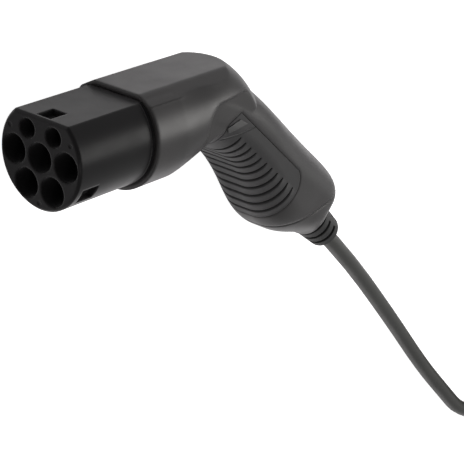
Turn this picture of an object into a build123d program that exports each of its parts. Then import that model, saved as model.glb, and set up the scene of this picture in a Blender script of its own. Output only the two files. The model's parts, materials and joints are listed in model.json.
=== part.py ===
"""Single-phase charging cable for an electric car: a station plug with its angled handle,
five metres of cable in a storage coil, and the matching connector for the car.

Each end is modelled in its own frame: origin at the middle of the contact face, +X out of the
nose, +Z towards the flat of the nose. Both ends then lie on one side on the floor, z = 0.
Lengths are in millimetres and angles in degrees.
"""
import os
from math import cos, hypot, radians, sin, tan

from build123d import *

# Nose, the part that goes into the socket
NOSE_DIAMETER = 56.0
NOSE_FLAT = 21.2
NOSE_REACH = 53.8
NOSE_EDGE = 1.2
NOSE_NECK_X = -52.0
NOSE_NECK_DEPTH = 0.5
WELL_PITCH = 18.1
WELL_DIAMETER = 15.9
SIGNAL_WELL_DIAMETER = 10.6
SIGNAL_WELL_RISE = 13.2
WELL_CHAMFER = 0.3
WELL_DEPTH = 42.0
WEB = 6.0
SHELL_WALL = 2.5
LATCH_LENGTH = 11.3
LATCH_WIDTH = 9.6
LATCH_DEPTH = 3.4
LATCH_SETBACK = 8.2
SIDE_LATCH_ANGLE = 33.0
SIDE_LATCH_SHIFT = 2.0
MARK_RING = 24.2
MARK_DIAMETER = 2.4
MARK_DEPTH = 0.3

# Contacts
PIN_DIAMETER = 6.0
SIGNAL_PIN_DIAMETER = 3.0
PIN_RECESS = 15.0
EARTH_LEAD = 3.0
ROOT_STEP = 0.4
ROOT_NECK = 1.5
ROOT_NECK_DEPTH = 0.3
COLLAR_STEP = 1.2
COLLAR_LENGTH = 8.0
TUBE_WALL = 1.7
SLEEVE_WALL = 1.0
TUBE_LIP = 1.2
CONTACT_GAP = 0.05
CARRIER_THICKNESS = 12.0
RETAINER_THICKNESS = 4.0
TAIL_REACH = 10.0
FIT_GAP = 0.1
SCREW_DIAMETER = 2.9
SCREW_HEAD_DIAMETER = 5.4
SCREW_HEAD_HEIGHT = 2.0

# Sleeve, the front of the housing
SLEEVE_DIAMETER = 62.0
SLEEVE_FLAT = 24.4
SLEEVE_FLAT_WIDTH = 31.0
SLEEVE_LENGTH = 22.2
SHOULDER_WALL = 6.0
SEAL_THICKNESS = 2.0
CREASE_HEIGHT = 19.6
CREASE_LENGTH = 68.0
CREASE_WIDTH = 0.5
CREASE_DEPTH = 0.5
SLEEVE_CAVITY = 12.0

# Handle: its axis runs down and back, places are given along it and across it
RAKE = 41.2
HANDLE_X = -166.0
HANDLE_Z = -8.0
HANDLE_WIDTH = 49.0
CORNER_SHARE = 4.0
HOUSING_WALL = 5.0
FLANK_WIDTH = 48.6
PAD_THICKNESS = 2.4
PAD_TOP = -19.7
PAD_END = 48.4
PAD_GAP = 0.35
RIB_COUNT = 11
RIB_FIRST = -23.0
RIB_PITCH = 6.55
RIB_WIDTH = 1.1
RIB_DEPTH = 0.9
RIB_TOP = -30.0
PANEL_LIFT = 0.6
SEAM_FRONT = 57.5
SEAM_SLOPE = 0.82
SEAM_DEPTH = -54.5
HANDLE_END = 102.0

# Cable entry
CABLE_DIAMETER = 10.4
BOOT_ACROSS = -26.9
BOOT_ROOT_DIAMETER = 25.0
BOOT_TIP_DIAMETER = 20.8
BOOT_NOSE_DIAMETER = 15.0
BOOT_LENGTH = 30.5
BOOT_NECK_DIAMETER = 17.0
BOOT_FLANGE_DIAMETER = 21.6
BOOT_FLANGE = 2.5
BOOT_GAP = 0.25
SLOT_COUNT = 3
SLOT_START = 4.0
SLOT_PITCH = 7.9
SLOT_WIDTH = 2.7
SLOT_DEPTH = 3.2
SLOT_FRONT_REACH = 3.6
SLOT_BACK_REACH = 7.6
CAP_FLOOR = 92.0
CLAMP_START = 80.0
CLAMP_LENGTH = 9.0
CLAMP_WIDTH = 30.0
CLAMP_HEIGHT = 8.2
CLAMP_SPLIT = 0.6
CLAMP_SCREW_SPACING = 21.0
SHEATH_START = 78.0
CORE_DIAMETER = 3.4
CORE_RING = 2.6
CORE_BEND = 12.0
CORE_LEAD = 8.0
CORE_TURN = -14.0
RESISTOR_DIAMETER = 2.4
RESISTOR_LENGTH = 6.0
RESISTOR_LEAD = 0.7

# How the ends lie: turned over onto one side, the handle's heel just touching the floor
ROLL = 5.45
FAR_TURN = -90.0

# Route of the cable on the floor and its storage coil
CABLE_REACH = 152.0
SINK_X = -335.0
SINK_Y = 203.7
SINK_HEIGHT = 8.8
FLOOR_BEND_X = -380.4
FLOOR_BEND_Y = 257.2
FLOOR_RUN = 48.0
COIL_X = -540.1
COIL_Y = 285.6
COIL_TURNS_ACROSS = 3
COIL_TURNS_UP = 4
COIL_MIDDLE_RADIUS = 59.3
COIL_SLACK = 0.3
COIL_LEAD = 40.0
COIL_ENTRY = 65.0
COIL_EDGE = 4.0
LEAD_RUN = 80.0
LEAD_REACH = 160.0
BEND_SHARE = 0.45

NOSE_RADIUS = NOSE_DIAMETER / 2
SLEEVE_RADIUS = SLEEVE_DIAMETER / 2
CABLE_RADIUS = CABLE_DIAMETER / 2
WEB_X = -WELL_DEPTH
CARRIER_X = WEB_X - WEB
RETAINER_X = CARRIER_X - CARRIER_THICKNESS
TAIL_X = RETAINER_X - RETAINER_THICKNESS - TAIL_REACH
SHELL_END_X = TAIL_X
SHOULDER_X = SHELL_END_X - SEAL_THICKNESS
ROW_DROP = WELL_PITCH * cos(radians(30))

# Contact places as seen on the face: across (Y) and up (Z)
POWER_PLACES = {
    "earth": (0.0, 0.0),
    "neutral": (-WELL_PITCH, 0.0),
    "line": (WELL_PITCH, 0.0),
}
SIGNAL_PLACES = {
    "proximity": (-WELL_PITCH / 2, SIGNAL_WELL_RISE),
    "pilot": (WELL_PITCH / 2, SIGNAL_WELL_RISE),
}
SPARE_PLACES = [(-WELL_PITCH / 2, -ROW_DROP), (WELL_PITCH / 2, -ROW_DROP)]
POWER_FITTED = list(POWER_PLACES.values())
POWER_WELLS = POWER_FITTED + SPARE_PLACES
SIGNAL_WELLS = list(SIGNAL_PLACES.values())
CORE_ENDS = {
    "earth": (0.0, -CORE_RING),
    "neutral": (-CORE_RING, 0.0),
    "line": (CORE_RING, 0.0),
    "pilot": (0.0, CORE_RING),
}
CORE_STARTS = dict(POWER_PLACES, pilot=SIGNAL_PLACES["pilot"])
SCREW_PLACES = [(0.0, 0.55 * WELL_PITCH), (-0.75 * WELL_PITCH, -0.44 * WELL_PITCH),
                (0.75 * WELL_PITCH, -0.44 * WELL_PITCH)]

# Sections square to the handle's axis: along, front edge, back edge, share of the full width
STATIONS = [
    (-56.0, -52.0, -8.0, 0.98),
    (-39.0, -46.0, -4.0, 1.0),
    (-22.0, -41.3, -2.0, 1.0),
    (4.0, -39.8, -1.6, 1.0),
    (30.0, -46.7, -0.8, 1.0),
    (58.0, -53.6, -0.3, 0.98),
    (79.0, -48.5, -0.1, 0.93),
    (CAP_FLOOR, -43.0, -1.5, 0.86),
    (98.5, -41.4, -4.0, 0.72),
    (HANDLE_END, -40.2, -8.0, 0.6),
]
# Sections of the elbow behind the sleeve: lower edge, upper edge (x, z), half width
ELBOW = [
    ((-76.0, -31.0), (-76.0, 31.0), 31.0),
    ((-87.8, -27.2), (-102.3, 30.1), 30.1),
    ((-110.4, -18.5), (-124.2, 27.8), 28.6),
    ((-119.5, -14.1), (-150.1, 4.5), 26.1),
]


def handle_point(along, across):
    """Point of the handle's middle plane, as x and z."""
    x = HANDLE_X - along * cos(radians(RAKE)) - across * sin(radians(RAKE))
    z = HANDLE_Z - along * sin(radians(RAKE)) + across * cos(radians(RAKE))
    return x, z


def axis_plane(along, across):
    """Plane square to the handle's axis: its x is the part's -Y, its y points to the back."""
    x, z = handle_point(along, across)
    axis = (-cos(radians(RAKE)), 0, -sin(radians(RAKE)))
    return Plane(origin=(x, 0, z), x_dir=(0, -1, 0), z_dir=axis)


def side_points(places):
    """Points of the side view given along and across the handle."""
    return [handle_point(along, across) for along, across in places]


def flat_round(radius, flat):
    """Circle with its top cut off flat, drawn in the open sketch."""
    Circle(radius)
    with Locations((0, flat + radius)):
        Rectangle(2 * radius, 2 * radius, mode=Mode.SUBTRACT)


def handle_form(inset, first, last):
    """The handle's outer form, drawn in by inset, between two of its stations."""
    with BuildPart() as form:
        for along, front, back, share in STATIONS[first:last]:
            half_width = share * HANDLE_WIDTH / 2 - inset
            depth = back - front - 2 * inset
            corner = min(half_width, depth / 2) - min(CORNER_SHARE, half_width / 4)
            with BuildSketch(axis_plane(along, (front + back) / 2)):
                RectangleRounded(2 * half_width, depth, corner)
        loft()
    return form.part


def elbow_form(inset, sleeve_length):
    """Elbow drawn in by inset, with a length of sleeve, under the roof's flat and facets."""
    facet_drop = 40.0
    facet_run = SLEEVE_FLAT_WIDTH / 2
    roof = SLEEVE_FLAT - inset
    slope = (SLEEVE_FLAT - CREASE_HEIGHT) / (
        (SLEEVE_RADIUS ** 2 - CREASE_HEIGHT ** 2) ** 0.5 - facet_run)
    with BuildPart() as form:
        for low, high, half_width in ELBOW:
            rise = Vector(high[0] - low[0], 0, high[1] - low[1])
            middle = ((low[0] + high[0]) / 2, 0, (low[1] + high[1]) / 2)
            plane = Plane(origin=middle, x_dir=(0, 1, 0), z_dir=Vector(0, 1, 0).cross(rise))
            with BuildSketch(plane):
                Ellipse(half_width - inset, rise.length / 2 - inset)
        loft()
        if sleeve_length:
            with BuildSketch(Plane.YZ.offset(-NOSE_REACH)):
                Circle(SLEEVE_RADIUS)
            extrude(amount=-sleeve_length)
        with BuildSketch(Plane.YZ.offset(-NOSE_REACH)):
            with BuildLine():
                Polyline((facet_run, roof),
                         (facet_run + facet_drop, roof - slope * facet_drop),
                         (facet_run + facet_drop, -2 * SLEEVE_RADIUS),
                         (-facet_run - facet_drop, -2 * SLEEVE_RADIUS),
                         (-facet_run - facet_drop, roof - slope * facet_drop),
                         (-facet_run, roof), close=True)
            make_face()
        extrude(amount=-2 * NOSE_REACH, mode=Mode.INTERSECT)
    return form.part


def outer_housing():
    """The whole housing, sleeve to heel, before it is hollowed and parted."""
    top_front = (-127.0, 12.0)
    top_back = (-152.0, 3.0)
    elbow = elbow_form(0, SLEEVE_LENGTH)
    handle = handle_form(0, 0, len(STATIONS))
    with BuildPart() as outer:
        add(elbow)
        with BuildSketch(Plane.XZ.offset(FLANK_WIDTH / 2)) as flank:
            with BuildLine():
                edge = Line((-93.5, -70.0), (-94.6, -2.0))
                turn = TangentArc(edge @ 1, (-108.0, 10.8), tangent=edge % 1)
                Polyline(turn @ 1, top_front, top_back, (-190.0, top_back[1]), (-190.0, -70.0),
                         edge @ 0)
            make_face()
        extrude(amount=SLEEVE_DIAMETER, mode=Mode.SUBTRACT)
        with BuildSketch(Plane.XZ.offset(-FLANK_WIDTH / 2)):
            add(flank.sketch_local)
        extrude(amount=-SLEEVE_DIAMETER, mode=Mode.SUBTRACT)
        add(handle)
    return outer.part


def seam_side(toward_heel):
    """Block on one side of the oblique seam between the housing and its end cap."""
    reach = 220.0
    depth = 60.0
    low = SEAM_FRONT - SEAM_SLOPE * depth
    high = SEAM_FRONT + SEAM_SLOPE * reach
    end = reach if toward_heel else -reach
    with BuildPart() as block:
        with BuildSketch(Plane.XZ):
            with BuildLine():
                Polyline(*side_points([(low, SEAM_DEPTH - depth), (high, SEAM_DEPTH + reach),
                                       (high + end, SEAM_DEPTH + reach),
                                       (low + end, SEAM_DEPTH - depth)]), close=True)
            make_face()
        extrude(amount=SLEEVE_DIAMETER, both=True)
    return block.part


def pad_region(gap):
    """Side outline of the grip pad, drawn in by gap, through the whole width."""
    with BuildPart() as region:
        with BuildSketch(Plane.XZ) as side:
            with BuildLine():
                corner, low_corner = side_points([(40.0, PAD_TOP), (PAD_END, -34.0)])
                bulge = side_points([(46.1, -23.6)])[0]
                ThreePointArc(corner, bulge, low_corner)
                Polyline(low_corner, *side_points([(PAD_END, -62.0), (-8.0, -62.0),
                                                   (-34.0, -46.0), (-37.0, -36.0),
                                                   (-38.7, -30.0), (-34.0, PAD_TOP)]), corner)
            make_face()
            if gap:
                offset(amount=-gap, kind=Kind.INTERSECTION)
        extrude(amount=SLEEVE_DIAMETER, both=True)
    return region.part


def crease_ring():
    """Thin band that the crease along both sides of the sleeve is cut with."""
    inner = (SLEEVE_RADIUS ** 2 - CREASE_HEIGHT ** 2) ** 0.5 - CREASE_DEPTH
    with BuildPart() as ring:
        with BuildSketch(Plane.XY.offset(CREASE_HEIGHT - CREASE_WIDTH / 2)):
            with Locations((-NOSE_REACH - CREASE_LENGTH / 2, 0)):
                Rectangle(CREASE_LENGTH, SLEEVE_DIAMETER)
                Rectangle(CREASE_LENGTH, 2 * inner, mode=Mode.SUBTRACT)
        extrude(amount=CREASE_WIDTH)
    return ring.part


def nose_solid(tubes):
    """Insulating body of the nose: seven wells, latch pockets and the open back."""
    with BuildPart() as nose:
        with BuildSketch(Plane.YZ):
            flat_round(NOSE_RADIUS, NOSE_FLAT)
        extrude(amount=SHELL_END_X)
        front_edges = nose.faces().sort_by(Axis.X)[-1].edges()
        chamfer(front_edges, NOSE_EDGE)
        for places, diameter in ((POWER_WELLS, WELL_DIAMETER), (SIGNAL_WELLS, SIGNAL_WELL_DIAMETER)):
            with BuildSketch(Plane.YZ):
                with Locations(*places):
                    Circle(diameter / 2)
            extrude(amount=WEB_X, mode=Mode.SUBTRACT)
            with BuildSketch(Plane.YZ):
                with Locations(*places):
                    Circle(diameter / 2 + WELL_CHAMFER)
            extrude(amount=-WELL_CHAMFER, taper=45, mode=Mode.SUBTRACT)
        with BuildSketch(Plane.YZ.offset(CARRIER_X)):
            flat_round(NOSE_RADIUS - SHELL_WALL, NOSE_FLAT - SHELL_WALL)
        extrude(amount=SHELL_END_X - CARRIER_X, mode=Mode.SUBTRACT)
        with BuildSketch(Plane.YZ.offset(NOSE_NECK_X)):
            Circle(NOSE_DIAMETER)
            Circle(NOSE_RADIUS - NOSE_NECK_DEPTH, mode=Mode.SUBTRACT)
        extrude(amount=-NOSE_REACH - NOSE_NECK_X, mode=Mode.SUBTRACT)
        if tubes:
            for places, diameter in ((POWER_WELLS, PIN_DIAMETER), (SIGNAL_WELLS, SIGNAL_PIN_DIAMETER)):
                bore = diameter / 2 + CONTACT_GAP + SLEEVE_WALL + FIT_GAP
                with BuildSketch(Plane.YZ.offset(WEB_X)):
                    with Locations(*places):
                        Circle(bore + TUBE_WALL)
                extrude(amount=-WEB_X)
                with BuildSketch(Plane.YZ):
                    with Locations(*places):
                        Circle(diameter / 2 + 2 * CONTACT_GAP)
                extrude(amount=-TUBE_LIP, mode=Mode.SUBTRACT)
                with BuildSketch(Plane.YZ.offset(-TUBE_LIP)):
                    with Locations(*places):
                        Circle(bore)
                extrude(amount=CARRIER_X + TUBE_LIP, mode=Mode.SUBTRACT)
        else:
            for places, diameter in ((POWER_FITTED, PIN_DIAMETER), (SIGNAL_WELLS, SIGNAL_PIN_DIAMETER)):
                with BuildSketch(Plane.YZ.offset(WEB_X)):
                    with Locations(*places):
                        Circle(diameter / 2 + ROOT_STEP + CONTACT_GAP)
                extrude(amount=-WEB, mode=Mode.SUBTRACT)
        with BuildSketch(Plane.YZ.offset(CARRIER_X)):
            with Locations(*SCREW_PLACES):
                Circle(SCREW_DIAMETER / 2)
        extrude(amount=WEB - 1.0, mode=Mode.SUBTRACT)
        with BuildSketch(Plane.XY.offset(NOSE_FLAT - LATCH_DEPTH)):
            with Locations((-LATCH_SETBACK, 0)):
                Rectangle(LATCH_LENGTH, LATCH_WIDTH)
        extrude(amount=2 * LATCH_DEPTH, mode=Mode.SUBTRACT)
        for turn in (SIDE_LATCH_ANGLE, 180 - SIDE_LATCH_ANGLE):
            out = (0, cos(radians(turn)), -sin(radians(turn)))
            side = Plane(origin=(0, 0, 0), x_dir=(1, 0, 0), z_dir=out)
            with BuildSketch(side.offset(NOSE_RADIUS - LATCH_DEPTH)):
                with Locations((-LATCH_SETBACK - SIDE_LATCH_SHIFT, 0)):
                    Rectangle(LATCH_LENGTH, LATCH_WIDTH)
            extrude(amount=2 * LATCH_DEPTH, mode=Mode.SUBTRACT)
        with BuildSketch(Plane.YZ):
            with PolarLocations(MARK_RING, 3, start_angle=30):
                Circle(MARK_DIAMETER / 2)
        extrude(amount=-MARK_DEPTH, mode=Mode.SUBTRACT)
    return nose.part


def pin_solid(diameter, tip_x):
    """Turned contact pin with its root, its collar, held in the carrier, and its crimp tail."""
    radius = diameter / 2
    root = radius + ROOT_STEP
    neck = radius - ROOT_NECK_DEPTH
    with BuildPart() as pin:
        with BuildSketch(Plane.XY):
            with BuildLine():
                Polyline((TAIL_X, 0), (TAIL_X, radius), (CARRIER_X - COLLAR_LENGTH, radius),
                         (CARRIER_X - COLLAR_LENGTH, radius + COLLAR_STEP),
                         (CARRIER_X, radius + COLLAR_STEP), (CARRIER_X, root), (WEB_X, root),
                         (WEB_X, neck), (WEB_X + ROOT_NECK, neck), (WEB_X + ROOT_NECK, radius),
                         (tip_x - radius / 2, radius), (tip_x, radius / 2), (tip_x, 0), close=True)
            make_face()
        revolve(axis=Axis.X)
    return pin.part


def sleeve_solid(diameter, places):
    """Turned contact sleeves of the car end, one for each pin."""
    bore = diameter / 2 + CONTACT_GAP
    with BuildPart() as sleeves:
        with BuildSketch(Plane.YZ.offset(-TUBE_LIP)):
            with Locations(*places):
                Circle(bore + SLEEVE_WALL)
                Circle(bore, mode=Mode.SUBTRACT)
        extrude(amount=CARRIER_X + TUBE_LIP)
        with BuildSketch(Plane.YZ.offset(CARRIER_X)):
            with Locations(*places):
                Circle(diameter / 2 + COLLAR_STEP)
        extrude(amount=-COLLAR_LENGTH)
        with BuildSketch(Plane.YZ.offset(CARRIER_X)):
            with Locations(*places):
                Circle(diameter / 2)
        extrude(amount=TAIL_X - CARRIER_X)
    return sleeves.part


def carrier_solid():
    """Block that holds the collars of the contacts."""
    with BuildPart() as carrier:
        with BuildSketch(Plane.YZ.offset(CARRIER_X)):
            flat_round(NOSE_RADIUS - SHELL_WALL - FIT_GAP, NOSE_FLAT - SHELL_WALL - FIT_GAP)
        extrude(amount=-CARRIER_THICKNESS)
        for places, diameter in ((POWER_FITTED, PIN_DIAMETER), (SIGNAL_WELLS, SIGNAL_PIN_DIAMETER)):
            with BuildSketch(Plane.YZ.offset(CARRIER_X)):
                with Locations(*places):
                    Circle(diameter / 2 + COLLAR_STEP + CONTACT_GAP)
            extrude(amount=-COLLAR_LENGTH, mode=Mode.SUBTRACT)
            with BuildSketch(Plane.YZ.offset(CARRIER_X)):
                with Locations(*places):
                    Circle(diameter / 2 + CONTACT_GAP)
            extrude(amount=-CARRIER_THICKNESS, mode=Mode.SUBTRACT)
        with BuildSketch(Plane.YZ.offset(CARRIER_X)):
            with Locations(*SCREW_PLACES):
                Circle(SCREW_DIAMETER / 2 + FIT_GAP)
        extrude(amount=-CARRIER_THICKNESS, mode=Mode.SUBTRACT)
    return carrier.part


def retainer_solid():
    """Plate that closes the carrier from behind."""
    with BuildPart() as retainer:
        with BuildSketch(Plane.YZ.offset(RETAINER_X)):
            flat_round(NOSE_RADIUS - SHELL_WALL - FIT_GAP, NOSE_FLAT - SHELL_WALL - FIT_GAP)
            for places, diameter in ((POWER_FITTED, PIN_DIAMETER),
                                     (SIGNAL_WELLS, SIGNAL_PIN_DIAMETER)):
                with Locations(*places):
                    Circle(diameter / 2 + CONTACT_GAP, mode=Mode.SUBTRACT)
            with Locations(*SCREW_PLACES):
                Circle(SCREW_DIAMETER / 2 + FIT_GAP, mode=Mode.SUBTRACT)
        extrude(amount=-RETAINER_THICKNESS)
    return retainer.part


def screw_solids():
    """Three screws that draw retainer and carrier against the nose."""
    head_x = RETAINER_X - RETAINER_THICKNESS
    with BuildPart() as screws:
        with BuildSketch(Plane.YZ.offset(head_x)):
            with Locations(*SCREW_PLACES):
                Circle(SCREW_HEAD_DIAMETER / 2)
        extrude(amount=-SCREW_HEAD_HEIGHT)
        with BuildSketch(Plane.YZ.offset(head_x)):
            with Locations(*SCREW_PLACES):
                Circle(SCREW_DIAMETER / 2)
        extrude(amount=CARRIER_X + WEB - 2.0 - head_x)
    return screws.part


def seal_solid():
    """Flat gasket between the back of the nose and the shoulder in the sleeve."""
    with BuildPart() as seal:
        with BuildSketch(Plane.YZ.offset(SHELL_END_X)):
            flat_round(NOSE_RADIUS, NOSE_FLAT)
        extrude(amount=-SEAL_THICKNESS)
        with BuildSketch(Plane.YZ.offset(SHELL_END_X)):
            flat_round(NOSE_RADIUS - SHELL_WALL, NOSE_FLAT - SHELL_WALL)
        extrude(amount=-SEAL_THICKNESS, mode=Mode.SUBTRACT)
    return seal.part


def elbow_cavity():
    """Hollow of the elbow, between the sleeve's and the handle's."""
    form = elbow_form(HOUSING_WALL, 0)
    with BuildPart() as hollow:
        add(form)
        with BuildSketch(Plane.XZ):
            Rectangle(4 * NOSE_REACH + 2 * SLEEVE_DIAMETER, 2 * SLEEVE_DIAMETER)
        extrude(amount=FLANK_WIDTH / 2 - HOUSING_WALL, both=True, mode=Mode.INTERSECT)
    return hollow.part


def housing_solid(outer, crease, cavities, heel_side, pad_pocket):
    """One-piece moulded housing: sleeve, elbow and hollow handle, open at the oblique seam."""
    with BuildPart() as housing:
        add(outer)
        add(crease, mode=Mode.SUBTRACT)
        add(pad_pocket, mode=Mode.SUBTRACT)
        with BuildSketch(Plane.YZ.offset(-NOSE_REACH)):
            flat_round(NOSE_RADIUS + FIT_GAP, NOSE_FLAT + FIT_GAP)
        extrude(amount=SHOULDER_X + NOSE_REACH, mode=Mode.SUBTRACT)
        with BuildSketch(Plane.YZ.offset(SHOULDER_X)):
            flat_round(SLEEVE_RADIUS - SHOULDER_WALL, SLEEVE_FLAT - SHOULDER_WALL)
        extrude(amount=-SLEEVE_CAVITY, mode=Mode.SUBTRACT)
        for cavity in cavities:
            add(cavity, mode=Mode.SUBTRACT)
        add(heel_side, mode=Mode.SUBTRACT)
    return housing.part


def pad_solid(handle, seat, region):
    """Soft grip pad round the front of the handle, with its curved ribs."""
    grooves = rib_grooves()
    with BuildPart() as pad:
        add(handle)
        add(region, mode=Mode.INTERSECT)
        add(seat, mode=Mode.SUBTRACT)
        add(grooves, mode=Mode.SUBTRACT)
    return pad.part


def rib_grooves():
    """Grooves square to the handle's axis, open to the outside and as deep as the ribs are high."""
    floor = handle_form(RIB_DEPTH, 0, len(STATIONS) - 1)
    with BuildPart() as grooves:
        for index in range(RIB_COUNT):
            along = RIB_FIRST + index * RIB_PITCH
            with BuildSketch(axis_plane(along, RIB_TOP - HANDLE_WIDTH / 2)):
                Rectangle(1.4 * HANDLE_WIDTH, HANDLE_WIDTH)
            extrude(amount=RIB_WIDTH / 2, both=True)
        add(floor, mode=Mode.SUBTRACT)
    return grooves.part


def panel_solids(whole):
    """Bare four-cornered panels on both sides of the grip pad."""
    lifted = handle_form(-PANEL_LIFT, 0, len(STATIONS) - 3)
    with BuildPart() as panels:
        with BuildSketch(Plane.XZ):
            with BuildLine():
                Polyline(*side_points([(-34.9, -33.4), (-38.3, -32.0), (-32.2, -23.3),
                                       (-25.1, -22.1)]), close=True)
            make_face()
        extrude(amount=SLEEVE_DIAMETER, both=True)
        add(lifted, mode=Mode.INTERSECT)
        add(whole, mode=Mode.SUBTRACT)
    return panels.part


def boot_hole(diameter, first, last):
    """Cylinder on the axis of the cable entry, between two places along the handle."""
    with BuildPart() as hole:
        with BuildSketch(axis_plane(first, BOOT_ACROSS)):
            Circle(diameter / 2)
        extrude(amount=last - first)
    return hole.part


def cap_solid(outer, cavity, housing_side):
    """End cap below the oblique seam, with the lower half of the cable clamp."""
    neck = boot_hole(BOOT_NECK_DIAMETER + 2 * FIT_GAP, CLAMP_START, HANDLE_END + 5.0)
    cable = boot_hole(CABLE_DIAMETER + 2 * FIT_GAP, SHEATH_START - 5.0, HANDLE_END)
    foot = 12.0
    with BuildPart() as saddle:
        with BuildSketch(axis_plane(CLAMP_START, BOOT_ACROSS - CLAMP_SPLIT / 2 - foot / 2)):
            Rectangle(CLAMP_WIDTH, foot)
        extrude(amount=CLAMP_LENGTH)
        with BuildSketch(axis_plane(CLAMP_START, BOOT_ACROSS - CLAMP_SPLIT / 2 - foot)):
            Rectangle(CLAMP_WIDTH / 2, foot)
        extrude(amount=CLAMP_LENGTH)
    with BuildPart() as cap:
        add(outer)
        add(cavity, mode=Mode.SUBTRACT)
        add(housing_side, mode=Mode.SUBTRACT)
        add(saddle.part)
        add(outer, mode=Mode.INTERSECT)
        add(cable, mode=Mode.SUBTRACT)
        for side in (-1, 1):
            plane = clamp_screw_plane(side)
            with BuildSketch(plane):
                Circle(SCREW_DIAMETER / 2)
            extrude(amount=-CLAMP_HEIGHT, mode=Mode.SUBTRACT)
        add(neck, mode=Mode.SUBTRACT)
    return cap.part


def clamp_screw_plane(side):
    """Plane at the clamp's split, square to its screws, its normal towards the back."""
    middle = axis_plane(CLAMP_START + CLAMP_LENGTH / 2, BOOT_ACROSS)
    across = middle.y_dir
    origin = middle.origin + Vector(0, side * CLAMP_SCREW_SPACING / 2, 0)
    return Plane(origin=origin, x_dir=(0, 1, 0), z_dir=across)


def boot_solid():
    """Tapered strain relief with staggered slots, its neck held in the end cap by a flange."""
    root = BOOT_ROOT_DIAMETER / 2
    tip = BOOT_TIP_DIAMETER / 2
    nose = BOOT_NOSE_DIAMETER / 2
    bore = CABLE_RADIUS + BOOT_GAP
    neck = BOOT_NECK_DIAMETER / 2
    flange = BOOT_FLANGE_DIAMETER / 2
    start = CAP_FLOOR - BOOT_FLANGE - HANDLE_END
    plane = axis_plane(HANDLE_END, BOOT_ACROSS)
    with BuildPart() as boot:
        with BuildSketch(Plane(origin=plane.origin, x_dir=plane.y_dir, z_dir=plane.x_dir)):
            with BuildLine():
                shape = Polyline((bore, start), (flange, start), (flange, CAP_FLOOR - HANDLE_END),
                                 (neck, CAP_FLOOR - HANDLE_END), (neck, 0), (root, 0),
                                 (tip, BOOT_LENGTH - tip + nose))
                RadiusArc(shape @ 1, (nose, BOOT_LENGTH), tip - nose)
                Polyline((nose, BOOT_LENGTH), (bore, BOOT_LENGTH), (bore, start))
            make_face()
        revolve(axis=Axis(plane.origin, plane.z_dir))
        for index in range(2 * SLOT_COUNT):
            along = HANDLE_END + SLOT_START + index * SLOT_PITCH / 2
            if index % 2:
                edge = SLOT_BACK_REACH + root
            else:
                edge = SLOT_FRONT_REACH - root
            share = (along + SLOT_WIDTH / 2 - HANDLE_END) / BOOT_LENGTH
            with BuildSketch(axis_plane(along, BOOT_ACROSS)):
                with Locations((0, edge)):
                    Rectangle(4 * root, 2 * root)
                Circle(root + (tip - root) * share - SLOT_DEPTH, mode=Mode.SUBTRACT)
            extrude(amount=SLOT_WIDTH, mode=Mode.SUBTRACT)
    return boot.part


def clamp_bar():
    """Upper half of the cable clamp."""
    cable = boot_hole(CABLE_DIAMETER + 2 * FIT_GAP, SHEATH_START, HANDLE_END)
    middle = BOOT_ACROSS + CLAMP_SPLIT / 2 + CLAMP_HEIGHT / 2
    with BuildPart() as bar:
        with BuildSketch(axis_plane(CLAMP_START, middle)):
            RectangleRounded(CLAMP_WIDTH, CLAMP_HEIGHT, 1.5)
        extrude(amount=CLAMP_LENGTH)
        add(cable, mode=Mode.SUBTRACT)
        for side in (-1, 1):
            with BuildSketch(clamp_screw_plane(side)):
                Circle(SCREW_DIAMETER / 2 + FIT_GAP)
            extrude(amount=2 * CLAMP_HEIGHT, mode=Mode.SUBTRACT)
    return bar.part


def clamp_screws():
    """Two screws that draw the clamp bar onto the end cap's saddle."""
    with BuildPart() as screws:
        for side in (-1, 1):
            plane = clamp_screw_plane(side)
            with BuildSketch(plane.offset(2.0 - CLAMP_HEIGHT)):
                Circle(SCREW_DIAMETER / 2)
            extrude(amount=2 * CLAMP_HEIGHT + CLAMP_SPLIT / 2 - 2.0)
            with BuildSketch(plane.offset(CLAMP_HEIGHT + CLAMP_SPLIT / 2)):
                Circle(SCREW_HEAD_DIAMETER / 2)
            extrude(amount=SCREW_HEAD_HEIGHT)
    return screws.part


def core_solid(start, end):
    """Insulated core from a crimp tail to its place in the cut end of the cable's sheath."""
    y, z = start
    side, rise = end
    tail, bend = side_points([(SHEATH_START, BOOT_ACROSS + rise), (CORE_TURN, BOOT_ACROSS + rise)])
    with BuildPart() as core:
        with BuildLine() as route:
            FilletPolyline((TAIL_X, y, z), (TAIL_X - CORE_LEAD, y, z), (bend[0], side, bend[1]),
                           (tail[0], side, tail[1]), radius=CORE_BEND)
        with BuildSketch(Plane(origin=(TAIL_X, y, z), z_dir=(-1, 0, 0))):
            Circle(CORE_DIAMETER / 2)
        sweep(path=route.line)
    return core.part


def resistor_solid():
    """Coding resistor between the proximity and earth tails, with its leads."""
    y, z = SIGNAL_PLACES["proximity"]
    span = hypot(y, z)
    out = (0, y / span, z / span)
    start = PIN_DIAMETER / 2
    end = span - SIGNAL_PIN_DIAMETER / 2
    middle = (start + end) / 2
    plane = Plane(origin=(TAIL_X + 3.0, 0, 0), z_dir=out)
    with BuildPart() as resistor:
        with BuildSketch(plane.offset(start)):
            Circle(RESISTOR_LEAD / 2)
        extrude(amount=end - start)
        with BuildSketch(plane.offset(middle - RESISTOR_LENGTH / 2)):
            Circle(RESISTOR_DIAMETER / 2)
        extrude(amount=RESISTOR_LENGTH)
    return resistor.part


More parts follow.
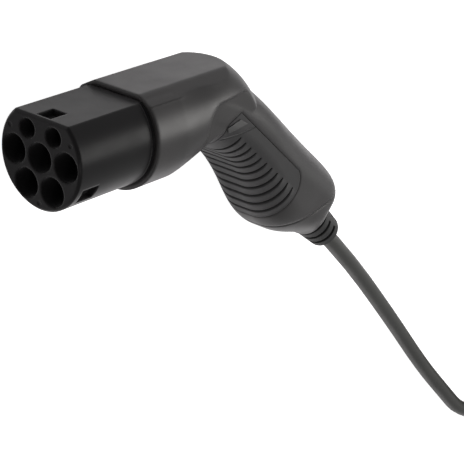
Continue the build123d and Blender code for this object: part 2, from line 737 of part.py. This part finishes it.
def cable_solid(points):
    """Cable along straight runs that arcs join, its bend radii and its length."""
    bends = []
    for before, corner, after in zip(points, points[1:], points[2:]):
        arriving = corner - before
        leaving = after - corner
        half_turn = radians(arriving.get_angle(leaving)) / 2
        bends.append(BEND_SHARE * min(arriving.length, leaving.length) / tan(half_turn))
    with BuildPart() as cable:
        with BuildLine():
            route = FilletPolyline(*points, radius=bends)
        with BuildSketch(Plane(origin=points[0], z_dir=points[1] - points[0])):
            Circle(CABLE_RADIUS)
        sweep(path=route)
    return cable.part, bends, route.length


def coil_solid(middle, leads):
    """Storage coil as one closed ring, with the cable's two straight leads."""
    width = COIL_TURNS_ACROSS * CABLE_DIAMETER + 2 * COIL_SLACK
    height = COIL_TURNS_UP * CABLE_DIAMETER
    with BuildPart() as coil:
        with BuildSketch(Plane(origin=middle, x_dir=(1, 0, 0), z_dir=(0, -1, 0))):
            with Locations((COIL_MIDDLE_RADIUS, height / 2 + COIL_SLACK)):
                RectangleRounded(width, height, COIL_EDGE)
        revolve(axis=Axis(middle, (0, 0, 1)))
        for start, way in leads:
            with BuildSketch(Plane(origin=start, z_dir=way)):
                Circle(CABLE_RADIUS)
            extrude(amount=COIL_LEAD)
    return coil.part


def end_solids(car):
    """Every piece of one end of the cable, in the end's own frame."""
    solids = {"nose": nose_solid(car)}
    if car:
        solids["power_sleeves"] = sleeve_solid(PIN_DIAMETER, POWER_FITTED)
        solids["signal_sleeves"] = sleeve_solid(SIGNAL_PIN_DIAMETER, SIGNAL_WELLS)
    else:
        for name, (y, z) in POWER_PLACES.items():
            tip = EARTH_LEAD - PIN_RECESS if name == "earth" else -PIN_RECESS
            solids["pin_" + name] = pin_solid(PIN_DIAMETER, tip).moved(Location((0, y, z)))
        for name, (y, z) in SIGNAL_PLACES.items():
            pin = pin_solid(SIGNAL_PIN_DIAMETER, -PIN_RECESS)
            solids["pin_" + name] = pin.moved(Location((0, y, z)))
        solids["coding_resistor"] = resistor_solid()
    for name, start in CORE_STARTS.items():
        solids["core_" + name] = core_solid(start, CORE_ENDS[name])
    return solids


def mesh_corners(solids):
    """Lowest and highest corner of some solids' meshes: boxes of lofted faces come out loose."""
    points = [tuple(point) for solid in solids for point in solid.tessellate(0.05)[0]]
    return Vector(*map(min, zip(*points))), Vector(*map(max, zip(*points)))


os.makedirs("parts", exist_ok=True)

handle_outer = handle_form(0, 0, len(STATIONS))
handle_cavity = handle_form(HOUSING_WALL, 0, len(STATIONS) - 2)
pad_seat = handle_form(PAD_THICKNESS, 0, len(STATIONS) - 1)
pad_pocket = pad_region(0) - pad_seat
whole = outer_housing()
shared = {
    "carrier": carrier_solid(),
    "retainer": retainer_solid(),
    "retainer_screws": screw_solids(),
    "seal": seal_solid(),
    "housing": housing_solid(whole, crease_ring(), (elbow_cavity(), handle_cavity),
                             seam_side(True), pad_pocket),
    "grip_pad": pad_solid(handle_outer, pad_seat, pad_region(PAD_GAP)),
    "side_panels": panel_solids(whole),
    "end_cap": cap_solid(whole, handle_cavity, seam_side(False)),
    "clamp_bar": clamp_bar(),
    "clamp_screws": clamp_screws(),
    "boot": boot_solid(),
}

# The station plug lies on its side, with the middle of its outline over the origin
lay = Location((0, 0, 0), (90 - ROLL, 0, 0))
plug = {name: solid.moved(lay) for name, solid in {**shared, **end_solids(False)}.items()}
low, high = mesh_corners(plug.values())
rest = Location((-(low.X + high.X) / 2, -(low.Y + high.Y) / 2, -low.Z))
pieces = {"plug_" + name: solid.moved(rest) for name, solid in plug.items()}


def axis_point(along, place):
    """Point on the axis of an end's cable entry, the end lying at a place on the floor."""
    x, z = handle_point(along, BOOT_ACROSS)
    return (place * rest * lay * Location((x, 0, z))).position


def floor_point(x, y, height):
    """Point over the floor, its x and y counted from the middle of the plug's contact face."""
    return Vector(rest.position.X + x, rest.position.Y + y, height)


# The second stretch leaves the coil along the axis of the car connector, which lies a quarter
# turn from the plug
turned = Location((0, 0, 0), (0, 0, FAR_TURN))
home = axis_point(SHEATH_START, turned) - axis_point(LEAD_REACH, turned)
leave_way = Vector(home.X, home.Y, 0).normalized()
entry_way = Vector(-sin(radians(COIL_ENTRY)), cos(radians(COIL_ENTRY)), 0)
outer_turn = COIL_MIDDLE_RADIUS + (COIL_TURNS_ACROSS - 1) / 2 * CABLE_DIAMETER
floor_height = CABLE_RADIUS
top_height = (COIL_TURNS_UP - 0.5) * CABLE_DIAMETER
entry = (floor_point(COIL_X, COIL_Y, floor_height)
         + Vector(entry_way.Y, -entry_way.X, 0) * outer_turn - entry_way * COIL_LEAD)
leave = (floor_point(COIL_X, COIL_Y, top_height)
         + Vector(leave_way.Y, -leave_way.X, 0) * outer_turn)
lead_start = leave + leave_way * COIL_LEAD
lead_bend = lead_start + leave_way * LEAD_RUN
seat = axis_point(LEAD_REACH, turned)
far = Location((lead_bend.X - seat.X, lead_bend.Y - seat.Y, 0)) * turned

plug_route = [
    axis_point(SHEATH_START, Location()),
    axis_point(CABLE_REACH, Location()),
    floor_point(SINK_X, SINK_Y, SINK_HEIGHT),
    floor_point(FLOOR_BEND_X, FLOOR_BEND_Y, floor_height),
    entry - entry_way * FLOOR_RUN,
    entry,
]
car_route = [lead_start, axis_point(LEAD_REACH, far), axis_point(SHEATH_START, far)]

for name, solid in {**shared, **end_solids(True)}.items():
    pieces["car_" + name] = solid.moved(far * rest * lay)
for name, route in (("cable_plug_side", plug_route), ("cable_car_side", car_route)):
    pieces[name], bends, length = cable_solid(route)
    print(name, "bend radii", [round(bend) for bend in bends], "length", round(length, 1))
    print(name, "route", [tuple(round(value, 2) for value in point) for point in route])
pieces["cable_coil"] = coil_solid(floor_point(COIL_X, COIL_Y, 0),
                                  ((entry, entry_way), (leave, leave_way)))

# Curves on the lofted faces are left to the reader: written out, they come back out of tolerance
for name, solid in pieces.items():
    solid.label = name
    export_step(solid, f"parts/{name}.step", write_pcurves=False)
print("outline", high - low, "pieces", len(pieces))
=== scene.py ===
"""Looks of the charging cable: materials, cable, floor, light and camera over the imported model.

Lengths are in metres, in the row frame. The plug lies on its side on the floor, z = 0.
"""
import json
import math

import bpy
from mathutils import Euler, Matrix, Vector


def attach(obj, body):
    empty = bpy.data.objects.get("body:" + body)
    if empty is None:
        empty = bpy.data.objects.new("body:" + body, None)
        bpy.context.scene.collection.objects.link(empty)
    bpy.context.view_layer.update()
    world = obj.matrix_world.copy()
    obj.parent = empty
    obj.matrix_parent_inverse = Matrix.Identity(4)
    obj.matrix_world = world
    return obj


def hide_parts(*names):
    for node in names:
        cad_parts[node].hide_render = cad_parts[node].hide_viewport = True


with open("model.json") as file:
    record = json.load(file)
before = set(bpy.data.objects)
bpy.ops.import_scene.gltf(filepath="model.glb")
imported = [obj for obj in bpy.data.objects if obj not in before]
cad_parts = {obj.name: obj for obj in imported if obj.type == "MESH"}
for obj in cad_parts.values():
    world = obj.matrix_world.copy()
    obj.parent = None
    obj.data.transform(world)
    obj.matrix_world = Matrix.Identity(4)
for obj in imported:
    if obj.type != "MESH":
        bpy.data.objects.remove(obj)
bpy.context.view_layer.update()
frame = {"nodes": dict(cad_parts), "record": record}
nodes = frame["nodes"]

# Camera, fitted to the photograph
CAMERA_PLACE = (0.71226, -0.32091, 0.64815)
CAMERA_TURN = (-19.1264, -50.2428, 178.3685)
CAMERA_LENS = 139.66
CAMERA_NEAR = 0.05
CAMERA_FAR = 40.0
SENSOR = 36.0

# Cable, with the route's points as in part.py and one more on the straight run that the
# photograph shows
CABLE_DIAMETER = 0.0104
CABLE_ROUND_STEPS = 5
CABLE_RUN_STEPS = 4
PLUG_ROUTE = [
    (-0.08051, 0.03167, 0.02344),
    (-0.13619, 0.08019, 0.01881),
    (-0.20854, 0.15611, 0.00880),
    (-0.25394, 0.20961, 0.00520),
    (-0.28538, 0.24347, 0.00520),
    (-0.30443, 0.26399, 0.00520),
    (-0.34793, 0.28427, 0.00520),
]
CAR_ROUTE = [
    (-0.49247, 0.25365, 0.03640),
    (-0.54503, 0.19334, 0.01831),
    (-0.59880, 0.13164, 0.02344),
]

# Coil: angles in degrees, of which COIL_CROSSING is spent on each change of turn or layer
FULL_TURN = 360.0
COIL_MIDDLE = (-0.41364, 0.23801)
COIL_RADIUS = 0.0593
COIL_START = 65.0
COIL_TURN = 4033.9
COIL_POINTS = 270
COIL_CROSSING = 60.0
COIL_LAYERS = 4
COIL_TURNS_ACROSS = 3

# How both ends are turned onto their side, and where their own origins lie
ROLL = math.radians(5.45)
PLUG_ORIGIN = Vector((0.12646, -0.04759, 0.03100))
CAR_ORIGIN = Vector((-0.67805, -0.07533, 0.03100))

# Handle's axis, in the end's own frame
RAKE = math.radians(41.2)
HANDLE_X = -0.166
HANDLE_Z = -0.008

# Ribs along the handle; the rise and fall are shares of the pitch
RIB_FIRST = -0.023
RIB_PITCH = 0.00655
RIB_LAST = 0.0425
RIB_TOP = -0.0300
RIB_EDGE = 0.001
RIB_FADE = 0.0050
RIB_SWELL = 0.0013
RIB_RISE_END = 0.28
RIB_FALL_START = 0.2
RIB_FALL_END = 1.05

# Slanted fold under the side panel
FOLD_FROM = -0.0345
FOLD_TO = -0.0165
FOLD_TILT = math.radians(46.4)
FOLD_SHIFT = 0.0015
FOLD_WIDTH = 0.0009
FOLD_DEPTH = 0.0007

# Unevenness of the materials: middle part of the noise that is used, size and detail of each
# noise, and how far tone and gloss stray
NOISE_LOW = 0.3
NOISE_HIGH = 0.7
TONE_SCALE = 28.0
TONE_DETAIL = 3.0
TONE_DARK = 0.88
TONE_LIGHT = 1.1
SMEAR_SCALE = 60.0
SMEAR_DETAIL = 4.0
SMEAR_BELOW = 0.04
SMEAR_ABOVE = 0.05
GRAIN_DETAIL = 2.0
GRAIN_STRENGTH = 0.5
SHEEN_ROUGHNESS = 0.4
EDGE_SAMPLES = 6
METAL_SCALE = 300.0
METAL_DETAIL = 4.0
METAL_DARK = 0.8
METAL_BELOW = 0.06
METAL_ABOVE = 0.08
SHARP_ANGLE = math.radians(28)

# Floor, world and lamps
FLOOR_HALF = 9
FLOOR_COLOUR = (0.93, 0.91, 0.93, 1)
FLOOR_ROUGHNESS = 0.9
FLOOR_SPECULAR = 0.1
FLOOR_LIFT = 0.9
FLOOR_PAINTED_REFLECTION_GLOW = 0.42
WORLD_FAR = 0.74
WORLD_NEAR = 0.2
WHITE = (1.0, 1.0, 1.0, 1)
LAMP_COLOUR = (1.0, 0.985, 0.96)
LAMPS = {
    "glint": {"place": (0.88, 0.36, 0.93), "aim": (0.05, 0.0, 0.0), "size": 0.3, "power": 1.6},
    "key": {"place": (-1.15, 0.0, 1.15), "aim": (-0.05, 0.0, 0.0), "size": 0.65, "power": 9.2},
}

# Colour, roughness, grain's scale and grain's depth, then what strays from the usual
MOULDED = {
    "housing_plastic": ((0.0340, 0.0320, 0.0323), 0.36, 2600.0, 0.00002,
                        {"specular": 0.28, "edge": 0.003}),
    "nose_plastic": ((0.0090, 0.0085, 0.0090), 0.33, 3200.0, 0.00001,
                     {"specular": 0.08, "edge": 0.0016, "sheen": 0.2}),
    "grip_rubber": ((0.030, 0.029, 0.030), 0.5, 3600.0, 0.00002,
                    {"specular": 0.25, "edge": 0.0007, "sheen": 0.06}),
    "panel_plastic": ((0.040, 0.039, 0.039), 0.38, 2400.0, 0.00001, {}),
    "boot_rubber": ((0.024, 0.024, 0.0243), 0.52, 3000.0, 0.00002,
                    {"specular": 0.25, "edge": 0.0008}),
    "seal_rubber": ((0.02, 0.02, 0.02), 0.7, 2000.0, 0.00002, {}),
    "insert_plastic": ((0.10, 0.10, 0.10), 0.55, 1800.0, 0.00002, {}),
    "cable_sheath": ((0.030, 0.030, 0.0265), 0.42, 1500.0, 0.00003, {"edge": 0.0002}),
    "core_earth": ((0.30, 0.45, 0.03), 0.45, 1500.0, 0.00001, {}),
    "core_neutral": ((0.03, 0.12, 0.45), 0.45, 1500.0, 0.00001, {}),
    "core_line": ((0.17, 0.07, 0.03), 0.45, 1500.0, 0.00001, {}),
    "core_pilot": ((0.03, 0.03, 0.03), 0.45, 1500.0, 0.00001, {}),
    "resistor_body": ((0.45, 0.33, 0.16), 0.3, 1500.0, 0.00001, {}),
}

# Colour and roughness
METALS = {
    "screw_steel": ((0.62, 0.62, 0.64), 0.3),
    "contact_metal": ((0.72, 0.70, 0.66), 0.22),
}


# Node helpers
def new_material(name):
    """Node material with a Principled shader: material, node tree, shader."""
    material = bpy.data.materials.new(name)
    material.use_nodes = True
    tree = material.node_tree
    return material, tree, tree.nodes["Principled BSDF"]


def add_noise(tree, scale, detail):
    """Noise over the piece's own coordinates, which are those of the row frame."""
    place = tree.nodes.new("ShaderNodeTexCoord")
    noise = tree.nodes.new("ShaderNodeTexNoise")
    noise.inputs["Scale"].default_value = scale
    noise.inputs["Detail"].default_value = detail
    tree.links.new(place.outputs["Object"], noise.inputs["Vector"])
    return noise.outputs["Fac"]


def add_span(tree, noise, low, high):
    """Middle part of a noise, spread from low to high."""
    span = tree.nodes.new("ShaderNodeMapRange")
    span.inputs["From Min"].default_value = NOISE_LOW
    span.inputs["From Max"].default_value = NOISE_HIGH
    span.inputs["To Min"].default_value = low
    span.inputs["To Max"].default_value = high
    tree.links.new(noise, span.inputs["Value"])
    return span.outputs["Result"]


def add_tones(tree, noise, dark, light):
    """Ramp over a noise from a dark colour to a light one."""
    ramp = tree.nodes.new("ShaderNodeValToRGB")
    ramp.color_ramp.elements[0].color = (*dark, 1)
    ramp.color_ramp.elements[1].color = (*light, 1)
    tree.links.new(noise, ramp.inputs["Fac"])
    return ramp


def along_axis(tree, origin, axis, shift):
    """Distance along an axis from an origin, with a shift added to it."""
    place = tree.nodes.new("ShaderNodeTexCoord")
    turned = tree.nodes.new("ShaderNodeVectorMath")
    turned.operation = "DOT_PRODUCT"
    turned.inputs[1].default_value = axis
    tree.links.new(place.outputs["Object"], turned.inputs[0])
    moved = tree.nodes.new("ShaderNodeMath")
    moved.operation = "ADD"
    moved.inputs[1].default_value = shift - axis.dot(origin)
    tree.links.new(turned.outputs["Value"], moved.inputs[0])
    return moved.outputs["Value"]


def blend_span(tree, source, zero_at, one_at):
    """Smooth step of a value from 0 to 1."""
    span = tree.nodes.new("ShaderNodeMapRange")
    span.interpolation_type = "SMOOTHSTEP"
    span.inputs["From Min"].default_value = zero_at
    span.inputs["From Max"].default_value = one_at
    tree.links.new(source, span.inputs["Value"])
    return span.outputs["Result"]


def join_values(tree, operation, first, second):
    """Math node over two values, of which the second may be a number."""
    math_node = tree.nodes.new("ShaderNodeMath")
    math_node.operation = operation
    tree.links.new(first, math_node.inputs[0])
    if isinstance(second, float):
        math_node.inputs[1].default_value = second
    else:
        tree.links.new(second, math_node.inputs[1])
    return math_node.outputs["Value"]


def add_relief(tree, height, distance):
    """Bump on top of the material's present normal; a negative distance cuts in."""
    shader = tree.nodes["Principled BSDF"]
    bump = tree.nodes.new("ShaderNodeBump")
    bump.inputs["Strength"].default_value = 1.0
    bump.inputs["Distance"].default_value = abs(distance)
    bump.invert = distance < 0
    tree.links.new(shader.inputs["Normal"].links[0].from_socket, bump.inputs["Normal"])
    tree.links.new(height, bump.inputs["Height"])
    tree.links.new(bump.outputs["Normal"], shader.inputs["Normal"])


# Materials
def moulded(name, colour, roughness, grain, grain_depth, specular=0.5, edge=0.0006, sheen=0.0):
    """Moulded plastic or rubber: fine grain, soft edges, slightly uneven in tone and gloss."""
    material, tree, shader = new_material(name)
    shader.inputs["Specular IOR Level"].default_value = specular
    shader.inputs["Sheen Weight"].default_value = sheen
    shader.inputs["Sheen Roughness"].default_value = SHEEN_ROUGHNESS
    ramp = add_tones(tree, add_noise(tree, TONE_SCALE, TONE_DETAIL),
                     [TONE_DARK * part for part in colour], [TONE_LIGHT * part for part in colour])
    ramp.color_ramp.elements[0].position = NOISE_LOW
    ramp.color_ramp.elements[1].position = NOISE_HIGH
    tree.links.new(ramp.outputs["Color"], shader.inputs["Base Color"])
    gloss = add_span(tree, add_noise(tree, SMEAR_SCALE, SMEAR_DETAIL),
                     roughness - SMEAR_BELOW, roughness + SMEAR_ABOVE)
    tree.links.new(gloss, shader.inputs["Roughness"])
    rounding = tree.nodes.new("ShaderNodeBevel")
    rounding.samples = EDGE_SAMPLES
    rounding.inputs["Radius"].default_value = edge
    bump = tree.nodes.new("ShaderNodeBump")
    bump.inputs["Strength"].default_value = GRAIN_STRENGTH
    bump.inputs["Distance"].default_value = grain_depth
    tree.links.new(add_noise(tree, grain, GRAIN_DETAIL), bump.inputs["Height"])
    tree.links.new(rounding.outputs["Normal"], bump.inputs["Normal"])
    tree.links.new(bump.outputs["Normal"], shader.inputs["Normal"])
    return material


def metal(name, colour, roughness):
    """Turned or plated metal, slightly uneven in tone and gloss."""
    material, tree, shader = new_material(name)
    shader.inputs["Metallic"].default_value = 1.0
    cloud = add_noise(tree, METAL_SCALE, METAL_DETAIL)
    ramp = add_tones(tree, cloud, [METAL_DARK * part for part in colour], colour)
    tree.links.new(ramp.outputs["Color"], shader.inputs["Base Color"])
    gloss = add_span(tree, cloud, roughness - METAL_BELOW, roughness + METAL_ABOVE)
    tree.links.new(gloss, shader.inputs["Roughness"])
    return material


def make_moulded(name, look):
    """Material of a name after a row of MOULDED."""
    *values, strays = MOULDED[look]
    return moulded(name, *values, **strays)


def handle_measures(tree, origin, far_end):
    """Distances of a point along the handle and across it, in the end's own frame."""
    def laid(x, z):
        """Direction of the end's middle plane, as it lies in the row frame."""
        flat = Vector((x, -z * math.cos(ROLL), z * math.sin(ROLL)))
        return Vector((flat.y, -flat.x, flat.z)) if far_end else flat

    axis = laid(-math.cos(RAKE), -math.sin(RAKE))
    side = laid(-math.sin(RAKE), math.cos(RAKE))
    along = along_axis(tree, origin, axis,
                       HANDLE_X * math.cos(RAKE) + HANDLE_Z * math.sin(RAKE))
    across = along_axis(tree, origin, side,
                        HANDLE_X * math.sin(RAKE) - HANDLE_Z * math.cos(RAKE))
    return along, across


def swell_ribs(tree, along, across):
    """Ribs that swell between the pad's grooves, steeper on the side towards the nose."""
    started = join_values(tree, "SUBTRACT", along, RIB_FIRST)
    counted = join_values(tree, "DIVIDE", started, RIB_PITCH)
    share = join_values(tree, "FRACT", counted, 0.0)
    rising = blend_span(tree, share, 0.0, RIB_RISE_END)
    falling = blend_span(tree, share, RIB_FALL_END, RIB_FALL_START)
    swell = join_values(tree, "MULTIPLY", rising, falling)
    from_top = blend_span(tree, across, RIB_TOP + RIB_EDGE, RIB_TOP - RIB_FADE)
    begun = blend_span(tree, along, RIB_FIRST - RIB_EDGE, RIB_FIRST + RIB_EDGE)
    ended = blend_span(tree, along, RIB_LAST + RIB_PITCH, RIB_LAST)
    ends = join_values(tree, "MULTIPLY", begun, ended)
    mask = join_values(tree, "MULTIPLY", from_top, ends)
    add_relief(tree, join_values(tree, "MULTIPLY", swell, mask), RIB_SWELL)


def press_fold(tree, along, across):
    """Slanted fold under the side panel."""
    slid = join_values(tree, "MULTIPLY", along, -math.sin(FOLD_TILT))
    risen = join_values(tree, "MULTIPLY", across, math.cos(FOLD_TILT))
    signed = join_values(tree, "ADD", slid, risen)
    shifted = join_values(tree, "ADD", signed, FOLD_SHIFT)
    away = join_values(tree, "ABSOLUTE", shifted, 0.0)
    valley = blend_span(tree, away, FOLD_WIDTH, 0.0)
    entered = blend_span(tree, along, FOLD_FROM, FOLD_FROM + FOLD_WIDTH)
    passed = blend_span(tree, along, FOLD_TO, FOLD_TO - FOLD_WIDTH)
    stretch = join_values(tree, "MULTIPLY", entered, passed)
    add_relief(tree, join_values(tree, "MULTIPLY", valley, stretch), -FOLD_DEPTH)


def shape_grip(material, origin, far_end):
    """Ribs and fold of one end's grip, as relief in its material."""
    tree = material.node_tree
    along, across = handle_measures(tree, origin, far_end)
    swell_ribs(tree, along, across)
    press_fold(tree, along, across)
    return material


MATERIALS = {name: make_moulded(name, name) for name in MOULDED}
MATERIALS.update({name: metal(name, *look) for name, look in METALS.items()})
PADS = {
    "plug_grip_pad": shape_grip(MATERIALS["grip_rubber"], PLUG_ORIGIN, False),
    "car_grip_pad": shape_grip(make_moulded("grip_rubber_far", "grip_rubber"), CAR_ORIGIN, True),
}
for part in frame["record"]["subparts"]:
    node = nodes[part["node"]]
    node.data.materials.clear()
    node.data.materials.append(PADS.get(part["node"], MATERIALS[part["material_slot"]]))
    node.data.shade_smooth()
    node.data.set_sharp_from_angle(angle=SHARP_ANGLE)


# Cable
def step_between(value, start, end):
    """Smooth step from 0 to 1."""
    share = min(1.0, max(0.0, (value - start) / (end - start)))
    return share * share * (3 - 2 * share)


def coil_place(turned):
    """Radius and height of the coil's centre line after so many degrees of winding."""
    layer_span = COIL_TURNS_ACROSS * FULL_TURN
    layer = min(COIL_LAYERS - 1, int(turned // layer_span))
    inside = turned - layer * layer_span
    shifts = sum(step_between(inside, turn * FULL_TURN - COIL_CROSSING, turn * FULL_TURN)
                 for turn in range(1, COIL_TURNS_ACROSS))
    column = shifts if layer % 2 == 0 else COIL_TURNS_ACROSS - 1 - shifts
    climb = step_between(inside, 0.0, COIL_CROSSING) if layer else 1.0
    level = layer - 1 + climb
    radius = COIL_RADIUS + ((COIL_TURNS_ACROSS - 1) / 2 - column) * CABLE_DIAMETER
    return radius, (level + 0.5) * CABLE_DIAMETER


def coil_points():
    """Control points of the winding; the curve runs just inside its control points."""
    step = COIL_TURN / COIL_POINTS
    reach = 1 / math.cos(math.radians(step / 2))
    points = []
    for index in range(COIL_POINTS):
        turned = (index + 0.5) * step
        radius, height = coil_place(turned)
        angle = math.radians(COIL_START + turned)
        points.append((COIL_MIDDLE[0] + reach * radius * math.cos(angle),
                       COIL_MIDDLE[1] + reach * radius * math.sin(angle), height))
    return points


curve = bpy.data.curves.new("charging_cable", "CURVE")
curve.dimensions = "3D"
curve.bevel_depth = CABLE_DIAMETER / 2
curve.bevel_resolution = CABLE_ROUND_STEPS
curve.resolution_u = CABLE_RUN_STEPS
curve.use_fill_caps = True
spline = curve.splines.new("NURBS")
route = PLUG_ROUTE + coil_points() + CAR_ROUTE
spline.points.add(len(route) - 1)
for point, place in zip(spline.points, route):
    point.co = (*place, 1.0)
spline.order_u = 3
spline.use_endpoint_u = True
spline.use_smooth = True
cable = bpy.data.objects.new("charging_cable", curve)
bpy.context.scene.collection.objects.link(cable)
curve.materials.append(MATERIALS["cable_sheath"])
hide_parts("cable_plug_side", "cable_coil", "cable_car_side")
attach(cable, "root")


# Floor, which is lifted to white for the camera, and glows for glossy rays: a painted reflection
# that gleams a little in the plug's sides
floor_mesh = bpy.data.meshes.new("floor")
floor_corners = [(-FLOOR_HALF, -FLOOR_HALF, 0), (FLOOR_HALF, -FLOOR_HALF, 0),
                 (FLOOR_HALF, FLOOR_HALF, 0), (-FLOOR_HALF, FLOOR_HALF, 0)]
floor_mesh.from_pydata(floor_corners, [], [(0, 1, 2, 3)])
floor = bpy.data.objects.new("floor", floor_mesh)
bpy.context.scene.collection.objects.link(floor)
floor_material, floor_tree, floor_shader = new_material("pale_floor")
floor_shader.inputs["Base Color"].default_value = FLOOR_COLOUR
floor_shader.inputs["Roughness"].default_value = FLOOR_ROUGHNESS
floor_shader.inputs["Specular IOR Level"].default_value = FLOOR_SPECULAR
floor_shader.inputs["Emission Color"].default_value = WHITE
floor_ray = floor_tree.nodes.new("ShaderNodeLightPath")
seen = join_values(floor_tree, "MULTIPLY", floor_ray.outputs["Is Camera Ray"], FLOOR_LIFT)
# painted reflection: the floor glows for glossy rays, so it shows brighter in the plug's sides
# than its lit colour
painted_reflection_glow = join_values(floor_tree, "MULTIPLY", floor_ray.outputs["Is Glossy Ray"], FLOOR_PAINTED_REFLECTION_GLOW)
lift = join_values(floor_tree, "ADD", seen, painted_reflection_glow)
floor_tree.links.new(lift, floor_shader.inputs["Emission Strength"])
floor_mesh.materials.append(floor_material)

# World: white to the camera, and otherwise dimmer from the far side to the near one
world = bpy.data.worlds.new("studio")
world.use_nodes = True
world_tree = world.node_tree
background = world_tree.nodes["Background"]
background.inputs["Color"].default_value = WHITE
way = world_tree.nodes.new("ShaderNodeTexCoord")
parts = world_tree.nodes.new("ShaderNodeSeparateXYZ")
world_tree.links.new(way.outputs["Generated"], parts.inputs["Vector"])
level = world_tree.nodes.new("ShaderNodeMapRange")
level.inputs["From Min"].default_value = -1.0
level.inputs["To Min"].default_value = WORLD_FAR
level.inputs["To Max"].default_value = WORLD_NEAR
world_tree.links.new(parts.outputs["X"], level.inputs["Value"])
world_ray = world_tree.nodes.new("ShaderNodeLightPath")
strength = join_values(world_tree, "MAXIMUM", level.outputs["Result"],
                       world_ray.outputs["Is Camera Ray"])
world_tree.links.new(strength, background.inputs["Strength"])
bpy.context.scene.world = world


def soft_lamp(name, place, aim, size, power):
    """Square area lamp that looks at a point."""
    data = bpy.data.lights.new(name, "AREA")
    data.shape = "SQUARE"
    data.size = size
    data.energy = power
    data.color = LAMP_COLOUR
    lamp = bpy.data.objects.new(name, data)
    lamp.location = place
    sight = Vector(aim) - Vector(place)
    lamp.rotation_euler = sight.to_track_quat("-Z", "Y").to_euler()
    bpy.context.scene.collection.objects.link(lamp)


for lamp_name, lamp_values in LAMPS.items():
    soft_lamp(lamp_name, **lamp_values)

# Camera
view = bpy.data.cameras.new("view")
view.lens = CAMERA_LENS
view.sensor_width = SENSOR
view.clip_start = CAMERA_NEAR
view.clip_end = CAMERA_FAR
camera = bpy.data.objects.new("view", view)
camera.location = CAMERA_PLACE
camera.rotation_euler = Euler([math.radians(angle) for angle in CAMERA_TURN], "XYZ")
bpy.context.scene.collection.objects.link(camera)
bpy.context.scene.camera = camera
bpy.context.scene.view_settings.view_transform = "Standard"
